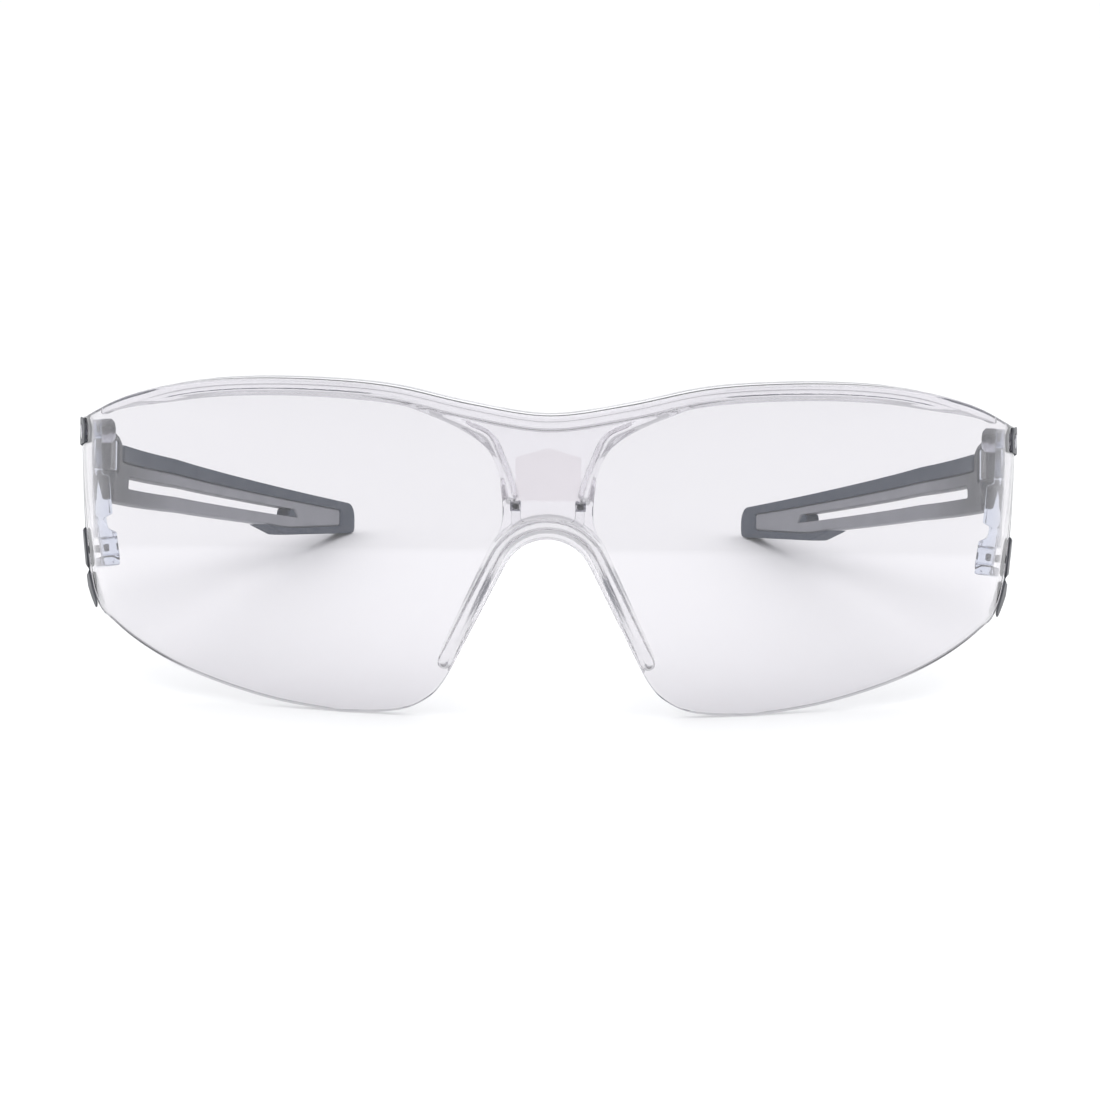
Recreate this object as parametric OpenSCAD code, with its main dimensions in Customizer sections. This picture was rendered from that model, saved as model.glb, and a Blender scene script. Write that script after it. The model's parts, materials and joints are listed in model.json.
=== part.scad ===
// Wraparound safety glasses: one-piece clear lens, clear brow bar, soft nose piece and two
// folding temples with a soft grip. Modelled as they stand on a table, on the two lens cheeks
// and the two temple tips. +Z is up, the wearer looks along -Y, left means the wearer's left (+X).

/* [Lens] */
// Radius of the lens across the front, seen from above
front_radius = 140; // [130:5:150]
// Half width of the front before the side curve begins
front_half_w = 58; // [56:1:60]
// Radius of the side curve, seen from above
side_radius = 30; // [29:0.5:31]
// Thickness of the lens
lens_t = 2; // [1.6:0.1:2.2]
// Height of the nose notch above the table
notch_top = 28.2; // [28:0.1:29]
// Radius at the top of the nose notch
notch_radius = 7; // [6.5:0.1:7.5]
// Angle of the notch sides from the vertical
notch_angle = 26; // [24:1:28]

/* [Brow bar] */
// Height of the rail along the top of the lens
rail_h = 2.8; // [2.4:0.1:3.2]
// How far the rail stands behind the lens
rail_depth = 2.6; // [2:0.1:3]
// Thickness of the plate behind the bridge
bridge_t = 1.7; // [1.5:0.1:1.9]
// How far the two bridge ribs stand behind the plate
rib_depth = 1.5; // [1:0.1:2]

/* [Nose piece] */
// Gap between the notch edge and the soft arm
arm_inset = 0.6; // [0.5:0.1:0.8]
// Width of the soft arm, seen from the front
arm_w = 2.2; // [2:0.1:2.3]
// How far the arms reach back from the lens
arm_depth = 7; // [5:0.5:9]
// Length of each arm below the arch
arm_length = 18.5; // [16:0.5:19.5]

/* [Hinge] */
// Distance of each hinge pin from the middle
hinge_x = 71.3; // [71.2:0.1:71.5]
// Distance of the hinge behind the front of the lens
hinge_y = 37; // [36.8:0.1:37.2]
// Height of the hinge above the table
hinge_z = 34.3; // [34:0.1:34.6]
// Slope of the temples down to the table
rest_tilt = 14; // [13.5:0.5:14.5]
// Radius of the hinge knuckles
knuckle_r = 2.4; // [2.2:0.1:2.4]
// Height of the middle knuckle
lug_h = 5; // [4.8:0.1:5.2]
// Radius of the hinge pin
pin_r = 1.15; // [0.9:0.05:1.2]
// Radial clearance of the pin in the temple's knuckles
pin_play = 0.05; // [0.02:0.01:0.1]

/* [Side guard] */
// How far the guard stands outside the lens
guard_t = 0.7; // [0.6:0.1:1]
// Radius of the rivet through guard, lens and carrier
rivet_r = 1.3; // [1:0.1:1.4]

/* [Temple] */
// Length of a temple from the hinge pin to the tip
temple_l = 121.5; // [120:0.5:122]
// Distance of the temple's middle from the centre line at its tip
tip_x = 40.9; // [40:0.2:44]
// Radius of the temple's curve, seen from above
temple_radius = 900; // [700:50:1500]
// Thickness of the hard core
core_t = 3; // [2.6:0.1:3.2]
// Thickness of the soft grip
grip_t = 3.6; // [3.4:0.1:4]
// Height of the slot at its front end
slot_front_h = 2.1; // [1.7:0.1:2.3]
// Height of the slot at its rear end
slot_rear_h = 1.5; // [1.2:0.1:1.7]

/* [Hidden] */
$fn = 64;

// Thin gap between pieces that lie against each other
gap = 0.05;
// Added to a cutter so that it passes right through
over = 1;
// Taller and deeper than any piece
big = 200;
// Beyond every piece near the hinge
far = 40;
// Taller than the lens
wall_h = 60;

// Where the front curve meets the side curve
join_angle = asin(front_half_w / front_radius);
side_centre_x = front_half_w - side_radius * sin(join_angle);
side_centre_y = front_radius * (1 - cos(join_angle)) + side_radius * cos(join_angle);

// Lens outline from the front, right half, as x and height
brow_pts = [[0, 46.8], [12, 48.4], [24, 50.7], [36, 51.3], [48, 50.8], [58, 49.3],
            [66, 46.7], [72, 43.2], [78, 38.6]];
cheek_pts = [[78, 16], [73, 12.2], [66, 8.4], [56, 4.3], [44, 1.3], [33, 0], [30, 0],
             [25, 0.4], [21, 1.3], [17.4, 3.6], [15.2, 6.6]];
curve_steps = 3;
brow_end_y = 24.6;
plate_inset = 3.1;
plate_pts = [[0, 45.5], [23, 49], [9.3, 42], [7, 37], [6.9, 32], [7.2, 29.5]];
rib_pts = [[15, 46.6], [8.6, 44], [4.4, 35], [6.2, 34.4], [10.2, 42.2], [17, 45.9]];

// Small slots in the plate, and the soft hooks that go through them
nose_slot_x = [4.3, 5.5];
nose_slot_z = [32.4, 33.4];
hook_x = [4.4, 5.4];
hook_z = [32.5, 33.3];
hook_start = 0.6;
hook_l = 1.6;
stem_z = [29.6, 33.3];
stem_t = 1.4;

// Rear edge of the lens, along and up in the hinge's own frame
rear_u = -2.75;
rear_cut_x = [-6, 12];
corner_pts = [[rear_u, -18.5], [-3.2, -21.5], [-4.8, -24], [-7.4, -26.6], [-13, -31.5]];

// Heights of the hinge, measured along the pin
ear_gap = 0.12;
ear_top = 3.6;
ear_slope = [[2.4, ear_top], [3.8, 2.9]];
pin_floor = 0.4;
ear_bottom = -7.3;
pocket_r = knuckle_r + 0.3;
pin_head_r = 1.7;
lug_foot_u = [-3.9, 0];
lug_foot_x = [-1.5, 1.3];
pin_head_h = 0.5;

// Carrier: a bar inside the rear edge of the lens
carrier_t = 1.4;
carrier_pts = [[rear_u, 5.2], [-6.4, 5.2], [-8.5, 4.4], [-9, 3], [-8.6, 0], [-8.6, -11.4],
               [-9, -12], [-9, -18.4], [rear_u, -18.4]];
box_u = [-9, rear_u];
box_w = [-17.8, -12.8];
box_extra = 1.4;
web_w = [-10.4, -4];
web_extra = 1.2;
web_u = [-8.6, rear_u];
pocket_u = [-8, 0];
pocket_w = [-16.8, -13.8];
pocket_wall = 0.9;

// Side guard: fingers over the outside of the lens, joined behind its rear edge
spine_u = [-2.55, -1.1];
spine_t = [0.1, 0.8];
spine_w = [-21, 5.6];
fingers = [[[spine_u[1], 1.6], [spine_u[1], 5.6], [-4.6, 5.8], [-7.8, 5.3], [-8.9, 3.9], [-8, 1.4]],
           [[spine_u[1], -18], [spine_u[1], -12], [-3.6, -12.2], [-4.9, -13.6], [-5, -16.6],
            [-4, -18]],
           [[spine_u[1], -21.4], [spine_u[1], -19.2], [-4.4, -19.2], [-5.6, -22], [-6.6, -25],
            [-5, -26]]];
tongue_u = -4;
tongue_t = 0.8;
tongue_w = [-15.9, -14.7];
tongue_play = 0.12;
rivet_u = -6;
rivet_w = 3.3;
rivet_head_r = 1.9;
rivet_head_h = 2.7;
rivet_reach = [-8, 12];
rivet_rim_h = 0.3;

// Temple outlines in the hinge's own frame: u along the temple, w up
root_mid_x = -0.4;
band_start_u = 4.9;
top_w = [2.3, 0.8];
band_h = [2.8, 1.7];
under_start = [3, -7.35];
ramp_end = [86.5, -7.6];
pad_end_u = 121;
pad_end_w = (pad_end_u * sin(rest_tilt) - hinge_z) / cos(rest_tilt);
pad_top_pts = [[76.5, -6.2], [85, -6.2], [93, -5.8], [114.6, -4.1]];
panel_end_u = 114.6;
tip_corner_r = 3;
slot_u = [8, 89];
slot_slant = [0.5, 1.6];
slot_mid_w = [-3.7, -2.95];
plug_end_u = 93;
plug_reach = 3;
plug_sunk = 0.3;
tip_rise = 0.8;
runner_t = 1.2;
runner_h = 0.8;

// Depth of the whole object along Y, from the lens to the temple tips: the origin is halfway
overall_depth = hinge_y + (temple_l - tip_corner_r) * cos(rest_tilt)
                + (top_w[1] - tip_corner_r) * sin(rest_tilt) + tip_corner_r;

// Smooth curve through a list of points
function bend(a, b, c, d, t) =
    0.5 * (2 * b + (c - a) * t + (2 * a - 5 * b + 4 * c - d) * t * t
           + (3 * b - a - 3 * c + d) * t * t * t);
function smooth(p) =
    [for (i = [0 : len(p) - 2], k = [0 : curve_steps - 1])
        bend(p[max(i - 1, 0)], p[i], p[i + 1], p[min(i + 2, len(p) - 1)], k / curve_steps),
     p[len(p) - 1]];
function rest(p) = [for (i = [1 : len(p) - 1]) p[i]];
function back(p) = [for (i = [len(p) - 1 : -1 : 0]) p[i]];
function flip(p) = [for (q = back(p)) [-q[0], q[1]]];
function lower(p, h) = [for (q = p) q - [0, h]];

// Top edge of the lens from the right end (-X) to the left end (+X)
brow_line = smooth(concat(flip(rest(brow_pts)), brow_pts));

// A point on the nose notch, or a distance d outside it and s down its straight side
notch_centre_z = notch_top - notch_radius;
function notch_side(d, s) =
    [0, notch_centre_z] + (notch_radius + d) * [cos(notch_angle), sin(notch_angle)]
    + s * [sin(notch_angle), -cos(notch_angle)];
function notch_arc(d) =
    [for (a = [notch_angle : 8 : 90 - 1])
        [0, notch_centre_z] + (notch_radius + d) * [cos(a), sin(a)]];

// Height along the temple's own lines at a distance u from the pin
function along(ends, u) = ends[0] + (ends[1] - ends[0]) * u / temple_l;
function top_at(u) = along(top_w, u);
function band_at(u) = top_at(u) - along(band_h, u);

module front_prism(points) {
    translate([0, big / 2, 0])
    rotate([90, 0, 0])
    linear_extrude(big)
    polygon(points);
}

// Prism along X from an outline given as distance back and height
module side_prism(points, x0 = -big / 2, x1 = big / 2) {
    translate([x0, 0, 0])
    rotate([90, 0, 90])
    linear_extrude(x1 - x0)
    polygon(points);
}

module front_block(x, z, y0, y1) {
    translate([x[0], y0, z[0]])
    cube([x[1] - x[0], y1 - y0, z[1] - z[0]]);
}

module side_block(u, w, x0 = -big / 2, x1 = big / 2) {
    translate([x0, u[0], w[0]])
    cube([x1 - x0, u[1] - u[0], w[1] - w[0]]);
}

// Space inside the lens's outer face moved inwards by t
module wrap_space(t) {
    intersection() {
        translate([0, front_radius])
        circle(r = front_radius - t, $fn = 200);
        polygon([[0, front_radius],
                 [-big * sin(join_angle), front_radius - big * cos(join_angle)],
                 [big * sin(join_angle), front_radius - big * cos(join_angle)]]);
    }
    for (side = [-1, 1])
        translate([side * side_centre_x, side_centre_y])
        circle(r = side_radius - t, $fn = 96);
}

// Wall that follows the lens from t0 to t1 inside its outer face
module wrap_wall(t0, t1) {
    linear_extrude(wall_h)
    intersection() {
        difference() {
            wrap_space(t0);
            wrap_space(t1);
        }
        translate([-big / 2, -10])
        square([big, 10 + side_centre_y - 1]);
    }
}

module stand() {
    translate([0, -overall_depth / 2, 0])
    children();
}

module mirrored(side) {
    mirror([side > 0 ? 0 : 1, 0, 0])
    children();
}

// Frame with its origin on the hinge pin: X outwards, Y along the temple, Z along the pin
module hinge_frame() {
    translate([hinge_x, hinge_y, hinge_z])
    rotate([-rest_tilt, 0, 0])
    children();
}

module both_hinges() {
    for (side = [-1, 1])
        mirrored(side)
        hinge_frame()
        children();
}

module lens() {
    lower_edge = concat(smooth(cheek_pts), notch_arc(0));
    color([0.86, 0.9, 0.94, 0.45])
    stand()
    difference() {
        intersection() {
            wrap_wall(0, lens_t);
            front_prism(concat(brow_line, lower_edge, [[0, notch_top]], flip(lower_edge)));
        }
        both_hinges() {
            lens_rear_cut();
            rivet_hole();
        }
    }
}

module lens_rear_cut() {
    side_prism(concat([[far, far], [rear_u, far]], smooth(corner_pts),
                      [[corner_pts[4][0], -far], [far, -far]]), rear_cut_x[0], rear_cut_x[1]);
}

module rivet_rod(r) {
    translate([rivet_reach[0], rivet_u, rivet_w])
    rotate([0, 90, 0])
    cylinder(r = r, h = rivet_reach[1] - rivet_reach[0]);
}

module rivet_hole() {
    rivet_rod(rivet_r + gap);
}

module brow_bar() {
    rail = concat(brow_line, back(lower(brow_line, rail_h)));
    plate = concat(plate_pts,
                   [for (a = [36 : 6 : 90])
                       [0, notch_centre_z] + (notch_radius + plate_inset) * [cos(a), sin(a)]]);
    color([0.8, 0.83, 0.88, 0.6])
    stand()
    difference() {
        union() {
            intersection() {
                wrap_wall(lens_t + gap, lens_t + rail_depth);
                front_prism(rail);
                translate([-big / 2, -over, 0])
                cube([big, brow_end_y + over, big]);
            }
            intersection() {
                wrap_wall(lens_t + gap, lens_t + bridge_t);
                front_prism(concat(plate, flip(plate)));
            }
            intersection() {
                wrap_wall(lens_t + 1, lens_t + bridge_t + rib_depth);
                for (side = [-1, 1])
                    mirrored(side)
                    front_prism(rib_pts);
            }
        }
        for (side = [-1, 1])
            mirrored(side)
            nose_slot();
    }
}

module nose_slot() {
    front_block(nose_slot_x, nose_slot_z, -over, lens_t + rail_depth + rib_depth + over);
}

module nose_piece() {
    inner = arm_inset;
    outer = arm_inset + arm_w;
    half = concat([notch_side(outer, arm_length), notch_side(outer, 0)],
                  notch_arc(outer), [[0, notch_top + outer]]);
    half_in = concat([notch_side(inner, arm_length), notch_side(inner, 0)],
                     notch_arc(inner), [[0, notch_top + inner]]);
    band = concat(half, back(half_in));
    end_mid = notch_side(arm_inset + arm_w / 2, arm_length);
    color([0.78, 0.8, 0.86, 0.7])
    stand()
    for (side = [-1, 1])
        mirrored(side) {
            intersection() {
                wrap_wall(lens_t + gap, lens_t + arm_depth);
                union() {
                    front_prism(band);
                    translate([end_mid[0], 0, end_mid[1]])
                    rotate([90, 0, 0])
                    cylinder(r = arm_w / 2, h = wall_h, center = true);
                }
            }
            front_block(hook_x, stem_z, lens_t + bridge_t + 2 * gap,
                        lens_t + bridge_t + 2 * gap + stem_t);
            front_block(hook_x, hook_z, lens_t + hook_start, lens_t + hook_start + hook_l);
        }
}

module hinge_carrier(side) {
    color([0.75, 0.79, 0.86, 0.7])
    stand()
    mirrored(side)
    difference() {
        union() {
            intersection() {
                wrap_wall(lens_t + gap, lens_t + carrier_t);
                hinge_frame()
                side_prism(carrier_pts);
            }
            intersection() {
                wrap_wall(lens_t + 1, lens_t + carrier_t + box_extra);
                hinge_frame()
                side_block(box_u, box_w);
            }
            intersection() {
                wrap_wall(lens_t + 1, lens_t + carrier_t + web_extra);
                hinge_frame()
                side_block(web_u, web_w);
            }
            hinge_frame()
            lug();
        }
        hinge_frame() {
            translate([0, 0, -big / 2])
            cylinder(r = pin_r + gap / 2, h = big);
            rivet_hole();
        }
        intersection() {
            wrap_wall(lens_t + pocket_wall, lens_t + carrier_t + box_extra - pocket_wall);
            hinge_frame()
            side_block(pocket_u, pocket_w);
        }
    }
}

module lug() {
    translate([0, 0, -lug_h / 2])
    cylinder(r = knuckle_r, h = lug_h);
    side_block(lug_foot_u, [-lug_h / 2, lug_h / 2], lug_foot_x[0], lug_foot_x[1]);
}

module side_guard(side) {
    color([0.25, 0.27, 0.3])
    stand()
    mirrored(side)
    difference() {
        union() {
            intersection() {
                wrap_wall(-guard_t, -gap);
                hinge_frame()
                finger_prisms();
            }
            intersection() {
                wrap_wall(-guard_t, spine_t[1]);
                hinge_frame()
                intersection() {
                    finger_prisms();
                    side_block(spine_u, [-far, far]);
                }
            }
            intersection() {
                wrap_wall(spine_t[0], spine_t[1]);
                hinge_frame()
                side_block(spine_u, spine_w);
            }
            guard_tongue();
        }
        hinge_frame()
        rivet_hole();
    }
}

// Tongue from the spine into the rear of the carrier's pocket
module guard_tongue() {
    inner = lens_t + pocket_wall + tongue_play;
    intersection() {
        wrap_wall(inner, inner + tongue_t);
        hinge_frame()
        side_block([tongue_u, spine_u[1]], tongue_w);
    }
    intersection() {
        wrap_wall(spine_t[0], inner + tongue_t);
        hinge_frame()
        side_block(spine_u, tongue_w);
    }
}

module finger_prisms() {
    for (points = fingers)
        side_prism(points);
}

// Rivet through the guard's upper finger, the lens and the carrier
module guard_rivet(side) {
    color([0.62, 0.63, 0.68])
    stand()
    mirrored(side) {
        intersection() {
            wrap_wall(-guard_t - rivet_rim_h, lens_t + carrier_t + rivet_head_h);
            hinge_frame()
            rivet_rod(rivet_r);
        }
        intersection() {
            union() {
                wrap_wall(-guard_t - rivet_rim_h, -guard_t - gap);
                wrap_wall(lens_t + carrier_t + gap, lens_t + carrier_t + rivet_head_h);
            }
            hinge_frame()
            rivet_rod(rivet_head_r);
        }
    }
}

module hinge_pin(side) {
    color([0.2, 0.2, 0.22])
    stand()
    mirrored(side)
    hinge_frame() {
        translate([0, 0, ear_bottom + pin_floor])
        cylinder(r = pin_r, h = ear_top - ear_bottom - pin_floor + ear_gap);
        translate([0, 0, ear_top + gap])
        cylinder(r = pin_head_r, h = pin_head_h);
    }
}

// Curved slab that the temple is cut from, t thick
module blade(t) {
    root = [root_mid_x, 0];
    tip = [tip_x - hinge_x, temple_l];
    chord = tip - root;
    reach = sqrt(temple_radius * temple_radius - chord * chord / 4);
    inward = [-chord[1], chord[0]] / norm(chord);
    centre = (root + tip) / 2 + inward * reach;
    translate([centre[0], centre[1], -big / 2])
    difference() {
        cylinder(r = temple_radius + t / 2, h = big, $fn = 360);
        translate([0, 0, -over])
        cylinder(r = temple_radius - t / 2, h = big + 2 * over, $fn = 360);
    }
}

function slot_pts(u0, u1) =
    [[u0, along(slot_mid_w, u0) - slot_front_h / 2],
     [u1, along(slot_mid_w, u1) - slot_rear_h / 2],
     [u1 - slot_slant[1], along(slot_mid_w, u1) + slot_rear_h / 2],
     [u0 + slot_slant[0], along(slot_mid_w, u0) + slot_front_h / 2]];

core_pts = concat([[0, ear_top]], ear_slope,
                  [[band_start_u, top_at(band_start_u)], [band_start_u, band_at(band_start_u)],
                   [panel_end_u, band_at(panel_end_u)]],
                  back(pad_top_pts), [under_start, [0, ear_bottom]]);

tip_corner = [for (a = [90 : -15 : 0])
    [temple_l - tip_corner_r, top_at(temple_l) - tip_corner_r]
    + tip_corner_r * [cos(a), sin(a)]];

grip_pts = concat([[band_start_u, top_at(band_start_u)]], tip_corner,
                  [[temple_l, pad_end_w + tip_rise], [pad_end_u, pad_end_w], ramp_end],
                  pad_top_pts,
                  [[panel_end_u, band_at(panel_end_u)], [band_start_u, band_at(band_start_u)]]);

module temple_core(side) {
    color([0.62, 0.63, 0.66])
    stand()
    mirrored(side)
    hinge_frame()
    difference() {
        union() {
            intersection() {
                blade(core_t);
                side_prism(core_pts);
            }
            translate([0, 0, lug_h / 2 + ear_gap])
            cylinder(r = knuckle_r, h = ear_top - lug_h / 2 - ear_gap);
            translate([0, 0, ear_bottom])
            cylinder(r = knuckle_r, h = -ear_bottom - lug_h / 2 - ear_gap);
        }
        translate([0, 0, -lug_h / 2 - ear_gap])
        cylinder(r = pocket_r, h = lug_h + 2 * ear_gap);
        translate([0, 0, -big / 2])
        cylinder(r = pin_r + pin_play, h = big);
        side_prism(slot_pts(slot_u[0], slot_u[1]));
        side_prism(slot_pts(slot_u[1] - plug_reach, plug_end_u));
        runner_space();
    }
}

module runner_space() {
    intersection() {
        blade(runner_t);
        side_block([plug_end_u - 1, panel_end_u + over],
                   [along(slot_mid_w, plug_end_u) - runner_h / 2,
                    along(slot_mid_w, plug_end_u) + runner_h / 2]);
    }
}

module temple_grip(side) {
    color([0.38, 0.41, 0.46])
    stand()
    mirrored(side)
    hinge_frame() {
        intersection() {
            blade(grip_t);
            side_prism(grip_pts);
        }
        intersection() {
            blade(core_t - 2 * plug_sunk);
            difference() {
                side_prism(slot_pts(slot_u[1] - plug_reach, plug_end_u));
                side_prism(slot_pts(slot_u[0], slot_u[1]));
            }
        }
        runner_space();
    }
}

lens();
brow_bar();
nose_piece();
hinge_carrier(1);  // left_hinge_carrier
hinge_carrier(-1);  // right_hinge_carrier
side_guard(1);  // left_side_guard
side_guard(-1);  // right_side_guard
guard_rivet(1);  // left_guard_rivet
guard_rivet(-1);  // right_guard_rivet
hinge_pin(1);  // left_hinge_pin
hinge_pin(-1);  // right_hinge_pin
temple_core(1);  // left_temple_core
temple_core(-1);  // right_temple_core
temple_grip(1);  // left_temple_grip
temple_grip(-1);  // right_temple_grip
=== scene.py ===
"""The looks of wraparound safety glasses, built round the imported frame.

Shapes are worked out in millimetres, in the row frame, and turned into metres when a piece is made.
Everything on a side is drawn for the wearer's left (+X) and mirrored for the right.
The front pieces share one wrapped sheet: s runs along the lens from the middle, z is the height and
t the depth behind the lens's outer face. The temples use the hinge's frame: u along the temple, w up
along the pin and x outwards.
"""

import json
import math

import bpy
import numpy as np
from mathutils import Matrix, Vector
from mathutils.geometry import delaunay_2d_cdt


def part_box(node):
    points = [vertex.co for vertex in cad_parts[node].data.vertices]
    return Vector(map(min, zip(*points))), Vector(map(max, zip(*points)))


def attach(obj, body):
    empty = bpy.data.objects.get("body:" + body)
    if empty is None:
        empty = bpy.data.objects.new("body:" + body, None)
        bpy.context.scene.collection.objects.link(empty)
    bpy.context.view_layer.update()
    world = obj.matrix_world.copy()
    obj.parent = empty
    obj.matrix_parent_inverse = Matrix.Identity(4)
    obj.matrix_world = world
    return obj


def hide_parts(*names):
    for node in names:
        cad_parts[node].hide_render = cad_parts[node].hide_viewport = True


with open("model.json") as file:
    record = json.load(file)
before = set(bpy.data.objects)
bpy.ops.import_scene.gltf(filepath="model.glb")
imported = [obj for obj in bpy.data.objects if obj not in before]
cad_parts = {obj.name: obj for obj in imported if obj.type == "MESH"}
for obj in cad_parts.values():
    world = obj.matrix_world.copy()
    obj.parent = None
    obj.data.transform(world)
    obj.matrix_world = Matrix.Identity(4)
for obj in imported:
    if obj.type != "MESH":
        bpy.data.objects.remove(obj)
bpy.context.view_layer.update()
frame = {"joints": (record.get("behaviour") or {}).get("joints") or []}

MM = 0.001
SIDES = {"left": 1, "right": -1}

# ---------------------------------------------------------------- driving dimensions, millimetres
hinge_joint = next(j for j in frame["joints"] if j["name"] == "left_temple_hinge")
HINGE = np.array(hinge_joint["pos_m"]) / MM
TILT = math.atan2(hinge_joint["axis"][1], hinge_joint["axis"][2])
FRONT_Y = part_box("lens")[0].y / MM
GAP = 0.05
HOLE_ROUND = 0.3  # holes have their edges rounded by this share of what outlines have

# the lens: radii of its front and side curves, its upright bulge and its wall
FRONT_R = 140.0
SIDE_R = 30.0
FRONT_HALF = 58.0
CURVE_EASE = 12.0
BULGE = 1.1
BULGE_Z = 30.0
BULGE_REACH = 25.0
LENS_T = 2.0
SIDE_THIN = 0.55
THIN_S = (60, 78)

# its outline, as points of x and z, and of u and w at its rear corner
BROW = [(0, 46.8), (12, 48.4), (24, 50.7), (36, 51.3), (48, 50.8), (58, 49.3), (66, 46.7),
        (72, 43.2), (78, 38.6)]
CHEEK = [(66, 8.4), (56, 4.3), (44, 1.3), (33, 0), (30, 0), (25, 0.4), (21, 1.3), (17.4, 3.6),
         (15.2, 6.6)]
NOTCH_TOP = 28.2
NOTCH_R = 7.0
NOTCH_LEAN = math.radians(26)
REAR_U = -2.75
CORNER = [(-2.75, -18.5), (-3.2, -21.5), (-4.8, -24), (-7.4, -26.6), (-13, -31.5)]

# what sits in or on it
RIVET_U, RIVET_W = -6.0, 3.3
HOLE_R = 1.35
SLOT_X, SLOT_Z = 4.9, 32.9
SLOT_HALF = (0.6, 0.5)
# how far round the brow's slots the painted shade reaches
SLOT_SHADE = (0.75, 0.62)
PATCH_HALF = 4.9
PATCH_Z = (33.8, 41.8)
PATCH_SLOPE = 0.29
BOX_U = -9.0
BOX_W = (-17.8, -12.8)
POCKET_U = -8.0
POCKET_W = (-16.8, -13.8)

# the hinge's knuckles, from the pin's middle
KNUCKLE_R = 2.4
BORE_R = 1.13
PIN_R = 1.15
PIN_HEAD_R = 1.7
LUG_H = 5.0
EAR_TOP = 3.6
EAR_FOOT = -7.3
EAR_FACE = 2.6
EAR_CUT = 2.62

# the temples: heights at the hinge and what they lose or gain towards the tip
TEMPLE_L = 121.5
ROOT_X = -0.4
TIP_X = 40.9
BEND_R = 900.0
TOP_W, TOP_FALL = 2.3, 1.5
BAND_H, BAND_FALL = 2.8, 1.1
SLOT_W, SLOT_RISE = -3.7, 0.75
CORE_T = 3.0
GRIP_T = 3.6
BAND_U = 4.9
PANEL_U = 114.6
SLOT_U = 8.0
PLUG_U = (89, 93)
SLOT_H = (2.1, 1.5)
SLOT_LEAN = (0.5, 1.6)
TIP_R = 3.0
PAD_END = (86.5, -7.6)
PAD_TOP = [(76.5, -6.2), (85, -6.2), (93, -5.8), (PANEL_U, -4.1)]


# ---------------------------------------------------------------- the wrapped sheet
def wrap_table():
    """Distance along the lens, with x, y and heading there; the side curve eases in."""
    step = 0.02
    s = np.arange(0, 112, step)
    join = FRONT_R * math.asin(FRONT_HALF / FRONT_R)
    share = np.clip((s - join) / CURVE_EASE + 0.5, 0, 1)
    share = share * share * (3 - 2 * share)
    heading = np.cumsum(1 / FRONT_R + share * (1 / SIDE_R - 1 / FRONT_R)) * step
    return s, np.cumsum(np.cos(heading)) * step, np.cumsum(np.sin(heading)) * step, heading


WRAP_S, WRAP_X, WRAP_Y, WRAP_HEADING = wrap_table()


def wrap(s, z, t):
    """Points of the wrapped front in the row frame, with the lens's slight upright bulge."""
    away = np.abs(s)
    heading = np.interp(away, WRAP_S, WRAP_HEADING)
    deep = t + BULGE * ((z - BULGE_Z) / BULGE_REACH) ** 2
    x = np.interp(away, WRAP_S, WRAP_X) - deep * np.sin(heading)
    y = np.interp(away, WRAP_S, WRAP_Y) + deep * np.cos(heading)
    return np.stack([x * np.sign(s), FRONT_Y + y, z + 0 * s], -1)


def lens_thick(s):
    """The lens is a little thinner at its sides."""
    return LENS_T - SIDE_THIN * step_up(np.abs(s), *THIN_S)


def s_at_x(x):
    return float(np.interp(x, WRAP_X, WRAP_S))


def to_sheet(u, w):
    """Where a point of the hinge's frame lies on the sheet, as s and z."""
    y = HINGE[1] + u * math.cos(TILT) + w * math.sin(TILT) - FRONT_Y
    z = HINGE[2] - u * math.sin(TILT) + w * math.cos(TILT)
    return float(np.interp(y, WRAP_Y, WRAP_S)), z


def from_sheet(s, z):
    """The hinge's u and w at points of the sheet."""
    y = np.interp(s, WRAP_S, WRAP_Y) + FRONT_Y - HINGE[1]
    z = z - HINGE[2]
    return y * math.cos(TILT) - z * math.sin(TILT), y * math.sin(TILT) + z * math.cos(TILT)


def sheet_points(points):
    return [to_sheet(u, w) for u, w in points]


RIVET_SPOT = to_sheet(RIVET_U, RIVET_W)


def in_hinge(x, u, w):
    """Points of the hinge's frame in the row frame."""
    y = HINGE[1] + u * math.cos(TILT) + w * math.sin(TILT)
    z = HINGE[2] - u * math.sin(TILT) + w * math.cos(TILT)
    return np.stack([HINGE[0] + x + 0 * y, y, z], -1)


# ---------------------------------------------------------------- outlines
def smooth(points, steps=8):
    """Smooth curve through a list of points."""
    p = np.array(points, float)
    out = []
    for i in range(len(p) - 1):
        a, b, c, d = p[max(i - 1, 0)], p[i], p[i + 1], p[min(i + 2, len(p) - 1)]
        for k in range(steps):
            f = k / steps
            out.append(0.5 * (2 * b + (c - a) * f + (2 * a - 5 * b + 4 * c - d) * f ** 2
                              + (3 * b - a - 3 * c + d) * f ** 3))
    return out + [p[-1]]


def resample(points, step, closed=True):
    p = np.array(points, float)
    if closed:
        p = np.vstack([p, p[:1]])
    along = np.concatenate([[0], np.cumsum(np.linalg.norm(np.diff(p, axis=0), axis=1))])
    count = max(12, int(round(along[-1] / step)))
    at = np.linspace(0, along[-1], count + 1)
    if closed:
        at = at[:-1]
    return np.stack([np.interp(at, along, p[:, i]) for i in range(2)], -1)


def soften(points, radius, step):
    """Closed outline at an even spacing, with its corners rounded as a mould has them."""
    p = resample(points, step)
    reach = max(1, int(round(radius / step)))
    for _ in range(2):
        p = sum(np.roll(p, k, axis=0) for k in range(-reach, reach + 1)) / (2 * reach + 1)
    return p


def area(loop):
    x, y = loop[:, 0], loop[:, 1]
    return 0.5 * float(np.sum(x * np.roll(y, -1) - np.roll(x, -1) * y))


def turned(loop, anticlockwise):
    return loop if (area(loop) > 0) == anticlockwise else loop[::-1]


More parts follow.
